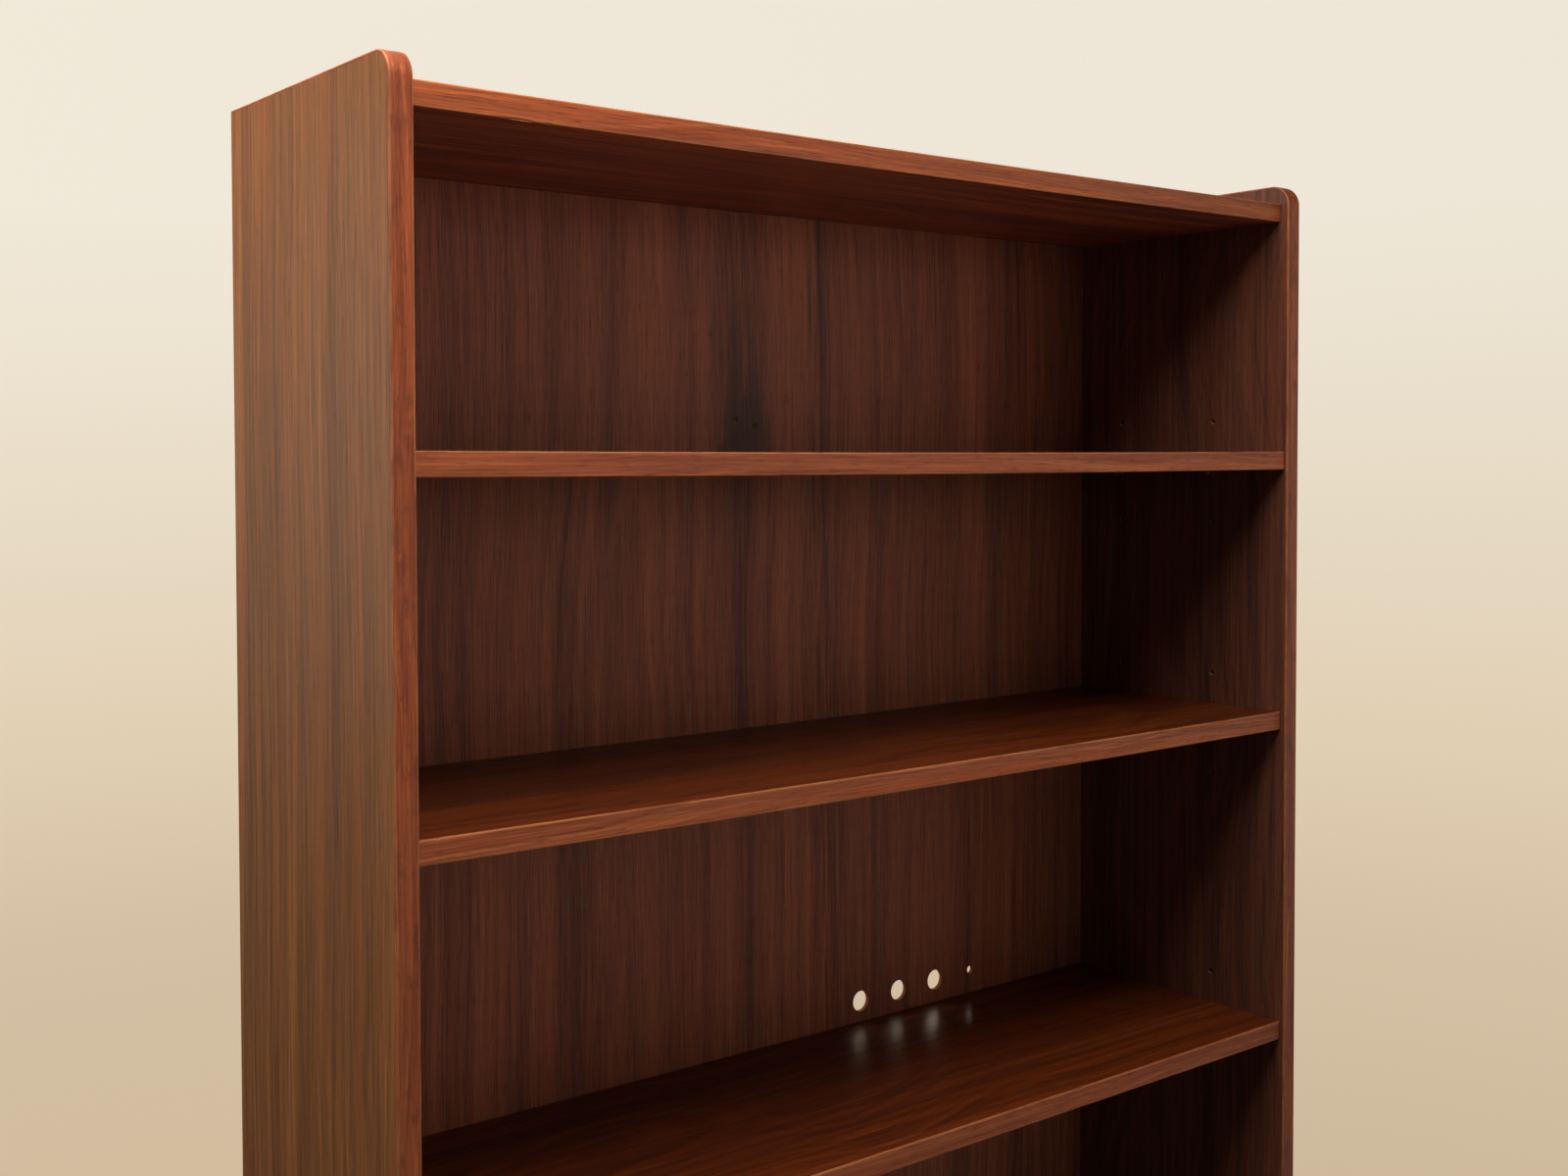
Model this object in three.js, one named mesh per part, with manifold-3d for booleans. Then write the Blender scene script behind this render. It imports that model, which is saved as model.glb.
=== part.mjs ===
// Veneered bookcase with five adjustable shelves on brass pins.
//
// Frame: millimetres, +Z up, X across the width, the open front faces -Y.
// The origin is on the floor under the middle of the case.
// Every board is a flat core with a thin wooden band on its visible edge. The two sides rise
// above the top board and end in a rounded front corner. The plywood back lies in a rabbet.

import * as THREE from 'three';
import { mergeVertices } from 'three/addons/utils/BufferGeometryUtils.js';
import Module from 'manifold-3d';

// ---------------------------------------------------------------- driving dimensions

const CASE_WIDTH = 1000;
const CASE_DEPTH = 266;
const CASE_HEIGHT = 1850;
const BOARD = 18;                 // thickness of every board
const EDGE_BAND = 2;              // thickness of the bands on the board edges
const CORNER_RADIUS = 20;         // rounded top front corner of each side
const SIDE_RISE = 18;             // height of the sides above the top board

const GLIDE_HEIGHT = 4;
const GLIDE_RADIUS = 8;
const GLIDE_INSET = 28;           // from the front and rear edges of a side

const PLINTH_HEIGHT = 60;         // floor to the underside of the bottom board
const PLINTH_SETBACK = 30;
const TOP_SETBACK = 9.5;
const BOTTOM_SETBACK = 4;

const BACK_THICKNESS = 4;
const RABBET_WIDTH = 9;
const RABBET_PLAY = 0.5;          // between the back panel and the side of its rabbet

// Shelves, from the top down. A step is one spacing of the pin holes.
const HOLE_STEP = 52;
const SHELVES = [
  { steps: 29, setback: 3 },
  { steps: 24, setback: 6 },
  { steps: 18, setback: 4.5 },
  { steps: 12, setback: 5 },
  { steps: 6, setback: 4 },
];
const SHELF_END_GAP = 0.8;        // between a shelf's end and the side
const SHELF_REAR_GAP = 1.5;       // between a shelf and the back panel

const PIN_RADIUS = 2.45;
const PIN_LENGTH = 19;
const PIN_IN_HOLE = 9;
const PIN_CHAMFER = 0.5;
const PIN_CLEARANCE = 0.3;        // between a pin and the shelf above it
const PIN_HOLE_RADIUS = 2.55;
const PIN_HOLE_DEPTH = 10;
const FRONT_HOLE_ROW = 88;        // from the front edge of the side
const REAR_HOLE_ROW = 206;

const DOWEL_RADIUS = 4;
const DOWEL_LENGTH = 30;
const DOWEL_IN_SIDE = 11;
const DOWEL_PLAY = 0.1;
const DOWEL_SPACING = 130;

const NAIL_HEAD_RADIUS = 2.5;
const NAIL_HEAD_HEIGHT = 1;
const NAIL_SHANK_RADIUS = 1;
const NAIL_LENGTH = 18;
const NAIL_PLAY = 0.1;
const NAILS_PER_SIDE = 4;
const NAIL_END_MARGIN = 70;

const CABLE_HOLE_RADIUS = 10.2;
const SMALL_CABLE_HOLE_RADIUS = 4;
const CABLE_HOLE_SPACING = 52;
const FIRST_CABLE_HOLE_X = 150;
const FIRST_CABLE_HOLE_RISE = 19.5;   // above the third shelf
const CABLE_HOLE_DRIFT = 1.3;         // each hole sits a little higher than the one before
const LARGE_CABLE_HOLES = 3;

const OLD_NAIL_HOLES = [{ x: -9, rise: 32 }, { x: 15, rise: 26 }];   // above the first shelf
const OLD_NAIL_HOLE_RADIUS = 1.8;
const OLD_NAIL_HOLE_DEPTH = 2.5;

const ROUND_SIDES = 12;           // facets round a pin, a dowel or a glide
const CABLE_HOLE_SIDES = 32;
const SMALL_SIDES = 8;
const CORNER_FACETS = 10;

// ---------------------------------------------------------------- derived places

const frontY = -CASE_DEPTH / 2;
const rearY = CASE_DEPTH / 2;
const panelFrontY = rearY - BACK_THICKNESS;
const innerX = CASE_WIDTH / 2 - BOARD;
const bottomTopZ = PLINTH_HEIGHT + BOARD;
const topTopZ = CASE_HEIGHT - SIDE_RISE;
const topMidZ = topTopZ - BOARD / 2;
const bottomMidZ = bottomTopZ - BOARD / 2;

for (const shelf of SHELVES) {
  shelf.topZ = bottomTopZ + shelf.steps * HOLE_STEP;
  shelf.pinZ = shelf.topZ - BOARD - PIN_CLEARANCE - PIN_RADIUS;
}
const holeRowsY = [frontY + FRONT_HOLE_ROW, frontY + REAR_HOLE_ROW];
const pinHoleZs = SHELVES.flatMap(({ pinZ }) => [pinZ - HOLE_STEP, pinZ, pinZ + HOLE_STEP]);

const sides = [
  { name: 'left', sign: -1 },
  { name: 'right', sign: 1 },
];

// ---------------------------------------------------------------- materials

const finish = (color, roughness, metalness = 0) =>
  new THREE.MeshStandardMaterial({ color, roughness, metalness });

const materials = {
  sideVeneer: () => finish(0x6a3a22, 0.45),
  shelfVeneer: () => finish(0x55260f, 0.25),
  backVeneer: () => finish(0x4a241a, 0.4),
  edgeBand: () => finish(0x7c3a24, 0.4),
  plinthVeneer: () => finish(0x44200f, 0.5),
  brass: () => finish(0xb08d4c, 0.35, 0.9),
  beech: () => finish(0xc9a878, 0.7),
  steel: () => finish(0x8c8c8a, 0.4, 0.9),
  nylon: () => finish(0x3a322c, 0.5),
};

// ---------------------------------------------------------------- solid modelling helpers

const wasm = await Module();
wasm.setup();

function toSolid(geometry) {
  const bare = geometry.clone();
  bare.deleteAttribute('normal');
  bare.deleteAttribute('uv');
  const merged = mergeVertices(bare, 1e-4);
  return new wasm.Manifold(new wasm.Mesh({
    numProp: 3,
    vertProperties: new Float32Array(merged.attributes.position.array),
    triVerts: new Uint32Array(merged.index.array),
  }));
}

function toGeometry(solid) {
  const mesh = solid.getMesh();
  const geometry = new THREE.BufferGeometry();
  geometry.setAttribute('position', new THREE.BufferAttribute(mesh.vertProperties, 3));
  geometry.setIndex(new THREE.BufferAttribute(mesh.triVerts, 1));
  geometry.computeVertexNormals();
  return geometry;
}

function cut(geometry, cutters) {
  let solid = toSolid(geometry);
  for (const cutter of cutters) solid = solid.subtract(toSolid(cutter));
  return toGeometry(solid);
}

// A box between two values on each axis.
function block([x0, x1], [y0, y1], [z0, z1]) {
  const geometry = new THREE.BoxGeometry(x1 - x0, y1 - y0, z1 - z0);
  return geometry.translate((x0 + x1) / 2, (y0 + y1) / 2, (z0 + z1) / 2);
}

// A cylinder along X from x0 towards x1.
function rodX(radius, x0, x1, y, z, facets = ROUND_SIDES) {
  const geometry = new THREE.CylinderGeometry(radius, radius, Math.abs(x1 - x0), facets);
  geometry.rotateZ(Math.PI / 2);
  return geometry.translate((x0 + x1) / 2, y, z);
}

// A cylinder along Y from y0 towards y1.
function rodY(radius, y0, y1, x, z, facets) {
  const geometry = new THREE.CylinderGeometry(radius, radius, y1 - y0, facets);
  return geometry.translate(x, (y0 + y1) / 2, z);
}

const bookcase = new THREE.Group();

function add(name, geometry, material, position = [0, 0, 0]) {
  const mesh = new THREE.Mesh(geometry, material());
  mesh.name = name;
  mesh.position.set(...position);
  bookcase.add(mesh);
  return mesh;
}

// ---------------------------------------------------------------- sides and their bands

// Outline of a side in the Y-Z plane, drawn inset from the finished front and top edges.
// Its rounded corner keeps one centre, whatever the inset.
function sideCorner(inset) {
  const radius = CORNER_RADIUS - inset;
  const centre = new THREE.Vector2(frontY + CORNER_RADIUS, CASE_HEIGHT - CORNER_RADIUS);
  const points = [];
  for (let i = 0; i <= CORNER_FACETS; i += 1) {
    const angle = Math.PI - (i / CORNER_FACETS) * (Math.PI / 2);
    points.push(new THREE.Vector2(
      centre.x + radius * Math.cos(angle),
      centre.y + radius * Math.sin(angle),
    ));
  }
  return points;
}

// Extrudes a Y-Z outline along X, one board thickness from xStart.
function extrudeAcross(points, xStart) {
  const shape = new THREE.Shape(points);
  const geometry = new THREE.ExtrudeGeometry(shape, { depth: BOARD, bevelEnabled: false });
  // Shape x, y and depth become Y, Z and X.
  geometry.applyMatrix4(new THREE.Matrix4().set(
    0, 0, 1, xStart,
    1, 0, 0, 0,
    0, 1, 0, 0,
    0, 0, 0, 1,
  ));
  return geometry;
}

function sideCore(xStart) {
  return extrudeAcross([
    new THREE.Vector2(frontY + EDGE_BAND, GLIDE_HEIGHT),
    ...sideCorner(EDGE_BAND),
    new THREE.Vector2(rearY, CASE_HEIGHT - EDGE_BAND),
    new THREE.Vector2(rearY, GLIDE_HEIGHT),
  ], xStart);
}

function sideBand(xStart) {
  return extrudeAcross([
    new THREE.Vector2(frontY, GLIDE_HEIGHT),
    ...sideCorner(0),
    new THREE.Vector2(rearY, CASE_HEIGHT),
    new THREE.Vector2(rearY, CASE_HEIGHT - EDGE_BAND),
    ...sideCorner(EDGE_BAND).reverse(),
    new THREE.Vector2(frontY + EDGE_BAND, GLIDE_HEIGHT),
  ], xStart);
}

// Nails that hold the back panel, in rows behind the rabbets of the two sides.
const nailPlaces = [];
for (const { name, sign } of sides) {
  for (let i = 0; i < NAILS_PER_SIDE; i += 1) {
    const low = PLINTH_HEIGHT + NAIL_END_MARGIN;
    const high = topTopZ - NAIL_END_MARGIN;
    nailPlaces.push({
      name: `back_nail_${name}_${i + 1}`,
      sign,
      x: sign * (innerX + RABBET_WIDTH / 2),
      z: low + (high - low) * (i / (NAILS_PER_SIDE - 1)),
    });
  }
}

// The turned profile of a nail, its head at y = 0 and its point towards -Y.
function nail(play) {
  const head = NAIL_HEAD_RADIUS + play;
  const shank = NAIL_SHANK_RADIUS + play;
  const geometry = new THREE.LatheGeometry([
    new THREE.Vector2(0, -NAIL_LENGTH - play),
    new THREE.Vector2(shank, -NAIL_LENGTH + NAIL_SHANK_RADIUS),
    new THREE.Vector2(shank, -NAIL_HEAD_HEIGHT - play),
    new THREE.Vector2(head, -NAIL_HEAD_HEIGHT - play),
    new THREE.Vector2(head, play),
    new THREE.Vector2(0, play),
  ], SMALL_SIDES);
  return geometry;
}
const nailCutter = ({ x, z }) => nail(NAIL_PLAY).translate(x, rearY, z);

const dowelPlaces = [];
for (const { name, sign } of sides) {
  for (const [board, z] of [['top', topMidZ], ['bottom', bottomMidZ]]) {
    [-1, 1].forEach((end, i) => dowelPlaces.push({
      name: `dowel_${board}_${name}_${i + 1}`,
      board,
      sign,
      y: (end * DOWEL_SPACING) / 2,
      z,
    }));
  }
}

// A dowel, or with some play the hole it sits in, across the joint of a board and a side.
function dowel({ sign, y, z }, play) {
  const inSide = sign * (innerX + DOWEL_IN_SIDE + play);
  const inBoard = sign * (innerX + DOWEL_IN_SIDE - DOWEL_LENGTH - play);
  return rodX(DOWEL_RADIUS + play, inSide, inBoard, y, z);
}

for (const { name, sign } of sides) {
  const xStart = sign < 0 ? -CASE_WIDTH / 2 : innerX;
  const rabbet = block(
    sign < 0 ? [-innerX - RABBET_WIDTH, -innerX + 1] : [innerX - 1, innerX + RABBET_WIDTH],
    [panelFrontY, rearY + 1],
    [GLIDE_HEIGHT - 1, topTopZ],
  );
  const pinHoles = holeRowsY.flatMap((y) => pinHoleZs.map((z) =>
    rodX(PIN_HOLE_RADIUS, sign * (innerX - 1), sign * (innerX + PIN_HOLE_DEPTH), y, z)));
  const dowelHoles = dowelPlaces.filter((place) => place.sign === sign)
    .map((place) => dowel(place, DOWEL_PLAY));
  const nailHoles = nailPlaces.filter((place) => place.sign === sign).map(nailCutter);
  const core = cut(sideCore(xStart), [rabbet, ...pinHoles, ...dowelHoles, ...nailHoles]);
  add(`side_${name}`, core, materials.sideVeneer);
  add(`side_edge_band_${name}`, sideBand(xStart), materials.edgeBand);
}

// ---------------------------------------------------------------- fixed boards

// A board between the sides with a band along its front edge.
function bandedBoard(name, topZ, setback, endGap, rearGap, material, cutters = []) {
  const x = [-innerX + endGap, innerX - endGap];
  const z = [topZ - BOARD, topZ];
  const bandRear = frontY + setback + EDGE_BAND;
  const core = block(x, [bandRear, panelFrontY - rearGap], z);
  add(name, cutters.length ? cut(core, cutters) : core, material);
  add(`${name}_edge_band`, block(x, [frontY + setback, bandRear], z), materials.edgeBand);
}

for (const [board, topZ, setback] of [
  ['top', topTopZ, TOP_SETBACK],
  ['bottom', bottomTopZ, BOTTOM_SETBACK],
]) {
  const holes = dowelPlaces.filter((place) => place.board === board)
    .map((place) => dowel(place, DOWEL_PLAY));
  bandedBoard(`${board}_board`, topZ, setback, 0, 0, materials.shelfVeneer, holes);
}

add('plinth_board', block(
  [-innerX, innerX],
  [frontY + PLINTH_SETBACK, frontY + PLINTH_SETBACK + BOARD],
  [GLIDE_HEIGHT, PLINTH_HEIGHT],
), materials.plinthVeneer);

for (const place of dowelPlaces) add(place.name, dowel(place, 0), materials.beech);

// ---------------------------------------------------------------- back panel

const cableHoles = [];
for (let i = 0; i <= LARGE_CABLE_HOLES; i += 1) {
  const radius = i < LARGE_CABLE_HOLES ? CABLE_HOLE_RADIUS : SMALL_CABLE_HOLE_RADIUS;
  const facets = i < LARGE_CABLE_HOLES ? CABLE_HOLE_SIDES : CABLE_HOLE_SIDES / 2;
  const x = FIRST_CABLE_HOLE_X + i * CABLE_HOLE_SPACING;
  const z = SHELVES[2].topZ + FIRST_CABLE_HOLE_RISE + i * CABLE_HOLE_DRIFT;
  cableHoles.push(rodY(radius, panelFrontY - 1, rearY + 1, x, z, facets));
}
const oldNailHoles = OLD_NAIL_HOLES.map(({ x, rise }) => rodY(
  OLD_NAIL_HOLE_RADIUS,
  panelFrontY - 1,
  panelFrontY + OLD_NAIL_HOLE_DEPTH,
  x,
  SHELVES[0].topZ + rise,
  SMALL_SIDES,
));
const panelHalfWidth = innerX + RABBET_WIDTH - RABBET_PLAY;
const panel = block(
  [-panelHalfWidth, panelHalfWidth],
  [panelFrontY, rearY],
  [PLINTH_HEIGHT, topTopZ - RABBET_PLAY],
);
add('back_panel', cut(panel, [...cableHoles, ...oldNailHoles, ...nailPlaces.map(nailCutter)]),
  materials.backVeneer);

for (const { name, x, z } of nailPlaces) add(name, nail(0), materials.steel, [x, rearY, z]);

// ---------------------------------------------------------------- shelves and their pins

// A turned pin along X with a chamfer at each end, its middle at the origin.
function shelfPin() {
  const half = PIN_LENGTH / 2;
  const geometry = new THREE.LatheGeometry([
    new THREE.Vector2(0, -half),
    new THREE.Vector2(PIN_RADIUS - PIN_CHAMFER, -half),
    new THREE.Vector2(PIN_RADIUS, -half + PIN_CHAMFER),
    new THREE.Vector2(PIN_RADIUS, half - PIN_CHAMFER),
    new THREE.Vector2(PIN_RADIUS - PIN_CHAMFER, half),
    new THREE.Vector2(0, half),
  ], ROUND_SIDES);
  return geometry.rotateZ(Math.PI / 2);
}

const pinMiddleX = innerX + PIN_IN_HOLE - PIN_LENGTH / 2;
SHELVES.forEach(({ topZ, pinZ, setback }, i) => {
  const shelfName = `shelf_${i + 1}`;
  bandedBoard(shelfName, topZ, setback, SHELF_END_GAP, SHELF_REAR_GAP, materials.shelfVeneer);
  for (const { name, sign } of sides) {
    ['front', 'rear'].forEach((row, rowIndex) => {
      const place = [sign * pinMiddleX, holeRowsY[rowIndex], pinZ];
      add(`${shelfName}_pin_${name}_${row}`, shelfPin(), materials.brass, place);
    });
  }
});

// ---------------------------------------------------------------- floor glides

function glide() {
  const geometry = new THREE.LatheGeometry([
    new THREE.Vector2(0, 0),
    new THREE.Vector2(GLIDE_RADIUS - 2, 0),
    new THREE.Vector2(GLIDE_RADIUS, 1.5),
    new THREE.Vector2(GLIDE_RADIUS, GLIDE_HEIGHT),
    new THREE.Vector2(0, GLIDE_HEIGHT),
  ], ROUND_SIDES);
  return geometry.rotateX(Math.PI / 2);
}

for (const { name, sign } of sides) {
  for (const [place, y] of [['front', frontY + GLIDE_INSET], ['rear', rearY - GLIDE_INSET]]) {
    add(`glide_${name}_${place}`, glide(), materials.nylon,
      [sign * (CASE_WIDTH - BOARD) / 2, y, 0]);
  }
}

export default bookcase;
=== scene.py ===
"""Looks of a veneered bookcase with five adjustable shelves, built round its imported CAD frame.

Metres in the row frame: +Z up, X across the width, the open front faces -Y, floor at z = 0.
Places and sizes come from the CAD boxes. The constants below are finishing details.
"""

import math

import bmesh
import bpy
from mathutils import Matrix, Vector


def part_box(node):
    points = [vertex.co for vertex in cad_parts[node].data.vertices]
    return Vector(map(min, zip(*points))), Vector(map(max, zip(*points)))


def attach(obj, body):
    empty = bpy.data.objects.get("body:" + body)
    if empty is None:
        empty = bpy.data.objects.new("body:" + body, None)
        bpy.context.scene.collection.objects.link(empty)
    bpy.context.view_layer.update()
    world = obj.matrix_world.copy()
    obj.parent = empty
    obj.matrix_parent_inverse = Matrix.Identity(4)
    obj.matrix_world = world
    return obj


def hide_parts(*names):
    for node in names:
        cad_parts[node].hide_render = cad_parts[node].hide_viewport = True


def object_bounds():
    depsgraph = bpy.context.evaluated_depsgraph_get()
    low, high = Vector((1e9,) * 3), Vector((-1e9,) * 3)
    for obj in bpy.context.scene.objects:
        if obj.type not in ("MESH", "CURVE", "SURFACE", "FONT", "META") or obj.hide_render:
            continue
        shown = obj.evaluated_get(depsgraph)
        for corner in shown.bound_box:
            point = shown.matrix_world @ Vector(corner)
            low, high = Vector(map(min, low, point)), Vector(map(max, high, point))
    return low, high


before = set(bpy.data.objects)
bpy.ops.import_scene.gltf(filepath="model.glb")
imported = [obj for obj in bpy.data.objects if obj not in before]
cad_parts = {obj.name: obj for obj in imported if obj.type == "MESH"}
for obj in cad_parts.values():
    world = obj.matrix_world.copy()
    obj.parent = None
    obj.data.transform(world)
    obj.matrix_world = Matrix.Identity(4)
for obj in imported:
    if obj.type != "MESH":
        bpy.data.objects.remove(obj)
cad_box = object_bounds()

# ---------------------------------------------------------------- finishing details

MM = 0.001

ARC_STEPS = 4                  # segments across a rounded arris
BAND_ARRIS = 1.1 * MM          # hand-sanded outer edges of the bands
RAW_ARRIS = 0.4 * MM           # cut edges of the boards
JOINT_ARRIS = 0.15 * MM        # hairline between a core and its band
VENEER = 0.6 * MM              # skin of veneer on each face of a board
SUPPORT = 0.35 * MM            # flat strip kept beside an arris, so that the shading stays crisp
CORNER_RADIUS = 20 * MM
CORNER_STEPS = 16
SPAN_STEPS = 28

HOLE_STEP = 52 * MM            # spacing of the pin holes
HOLE_SIDES = 24
HOLE_CHAMFER = 0.3 * MM
PLAY = 0.1 * MM                # between a pin, dowel or nail and its hole
RABBET_WIDTH = 9 * MM

# Number of sides of round shapes.
TURNED_SIDES = 28              # pins and nails
CABLE_HOLE_SIDES = 40
GLIDE_SIDES = 48
DOWEL_SIDES = 48
SMOOTH_ANGLE = math.radians(38)    # an edge that bends more stays sharp in the shading

# Sag at the middle of each span.
SAG = {
    "top_board": 1.1 * MM,
    "shelf_1": 1.2 * MM,
    "shelf_2": 1.6 * MM,
    "shelf_3": 0.9 * MM,
    "shelf_4": 1.3 * MM,
    "shelf_5": 1.0 * MM,
    "bottom_board": 0.3 * MM,
}
# Chips in the boards' bands: place along X, half the length, depth, and True for the upper edge.
CHIPS = {
    "top_board": [(-0.395, 0.012, 0.9 * MM, False), (-0.372, 0.004, 0.6 * MM, False)],
    "shelf_2": [(-0.4645, 0.0022, 0.7 * MM, True)],
    "shelf_4": [(0.212, 0.003, 0.6 * MM, True)],
}
SHELVES = [f"shelf_{i}" for i in range(1, 6)]
SIDES = {"left": -1, "right": 1}

# ---------------------------------------------------------------- node trees


class Graph:
    """Short calls that add nodes to one node tree."""

    def __init__(self, tree):
        self.nodes, self.links = tree.nodes, tree.links

    def put(self, socket, value):
        """Links a socket to another one, or sets its value."""
        if isinstance(value, bpy.types.NodeSocket):
            self.links.new(value, socket)
        elif hasattr(socket.default_value, "__len__") and isinstance(value, (int, float)):
            socket.default_value = (value,) * len(socket.default_value)
        elif hasattr(socket.default_value, "__len__"):
            size = len(socket.default_value)
            socket.default_value = (tuple(value) + (1.0,))[:size]
        else:
            socket.default_value = value

    def math(self, operation, a, b=0.0, clamp=False):
        node = self.nodes.new("ShaderNodeMath")
        node.operation, node.use_clamp = operation, clamp
        for socket, value in zip(node.inputs, (a, b)):
            self.put(socket, value)
        return node.outputs[0]

    def mul(self, a, b):
        return self.math("MULTIPLY", a, b)

    def add(self, a, b):
        return self.math("ADD", a, b)

    def sub(self, a, b):
        return self.math("SUBTRACT", a, b)

    def total(self, *terms):
        out = terms[0]
        for term in terms[1:]:
            out = self.add(out, term)
        return out

    def grade(self, value, low, high, to_low=0.0, to_high=1.0, smooth=True):
        """value from low..high to to_low..to_high, held at the ends."""
        node = self.nodes.new("ShaderNodeMapRange")
        node.interpolation_type = "SMOOTHSTEP" if smooth else "LINEAR"
        for socket, v in zip(node.inputs, (value, low, high, to_low, to_high)):
            self.put(socket, v)
        return node.outputs[0]

    def vector(self, x, y, z):
        node = self.nodes.new("ShaderNodeCombineXYZ")
        for socket, value in zip(node.inputs, (x, y, z)):
            self.put(socket, value)
        return node.outputs[0]

    def place(self):
        """The point on the object in millimetres, as three sockets keyed x, y and z."""
        where = self.nodes.new("ShaderNodeTexCoord").outputs["Object"]
        split = self.nodes.new("ShaderNodeSeparateXYZ")
        self.put(split.inputs[0], where)
        return {axis: self.mul(split.outputs[i], 1000.0) for i, axis in enumerate("xyz")}

    def noise(self, point, scale, detail=2.0, roughness=0.5, shift=(0, 0, 0)):
        """Noise from 0 to 1 at a vector stretched by scale, in cycles per millimetre."""
        mapping = self.nodes.new("ShaderNodeMapping")
        self.put(mapping.inputs["Vector"], point)
        self.put(mapping.inputs["Scale"], scale)
        self.put(mapping.inputs["Location"], shift)
        node = self.nodes.new("ShaderNodeTexNoise")
        self.put(node.inputs["Vector"], mapping.outputs[0])
        for name, value in (("Scale", 1.0), ("Detail", detail), ("Roughness", roughness)):
            self.put(node.inputs[name], value)
        return node.outputs[0]

    def mix(self, factor, a, b):
        """Colour a where factor is 0 and b where it is 1."""
        node = self.nodes.new("ShaderNodeMix")
        node.data_type, node.clamp_factor = "RGBA", True
        self.put(node.inputs["Factor"], factor)
        self.put(node.inputs[6], a)
        self.put(node.inputs[7], b)
        return node.outputs[2]

    def ramp(self, value, *stops):
        """Colour at value, from (position, colour) stops."""
        node = self.nodes.new("ShaderNodeValToRGB")
        self.put(node.inputs[0], value)
        elements = node.color_ramp.elements
        while len(elements) < len(stops):
            elements.new(0.5)
        for element, (position, colour) in zip(elements, stops):
            element.position = position
            element.color = (*colour, 1.0)
        return node.outputs[0]

    def dot(self, direction, other):
        node = self.nodes.new("ShaderNodeVectorMath")
        node.operation = "DOT_PRODUCT"
        self.put(node.inputs[0], direction)
        self.put(node.inputs[1], other)
        return node.outputs["Value"]

    def attribute(self, name):
        node = self.nodes.new("ShaderNodeAttribute")
        node.attribute_name = name
        return node.outputs["Fac"]


class Tree(Graph):
    """The nodes of one new material."""

    def __init__(self, name):
        self.material = bpy.data.materials.new(name)
        self.material.use_nodes = True
        super().__init__(self.material.node_tree)
        self.shader = self.nodes["Principled BSDF"]

    def set(self, **values):
        """Sets inputs of the shader; a name's underscores stand for spaces."""
        for name, value in values.items():
            self.put(self.shader.inputs[name.replace("_", " ")], value)

    def bump(self, height, distance, strength):
        node = self.nodes.new("ShaderNodeBump")
        self.put(node.inputs["Height"], height)
        self.put(node.inputs["Distance"], distance)
        self.put(node.inputs["Strength"], strength)
        self.put(self.shader.inputs["Normal"], node.outputs[0])


def srgb(red, green, blue):
    """A linear colour from 0..255 display values."""
    out = []
    for value in (red, green, blue):
        v = value / 255
        out.append(v / 12.92 if v <= 0.04045 else ((v + 0.055) / 1.055) ** 2.4)
    return tuple(out)


# ---------------------------------------------------------------- materials


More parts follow.
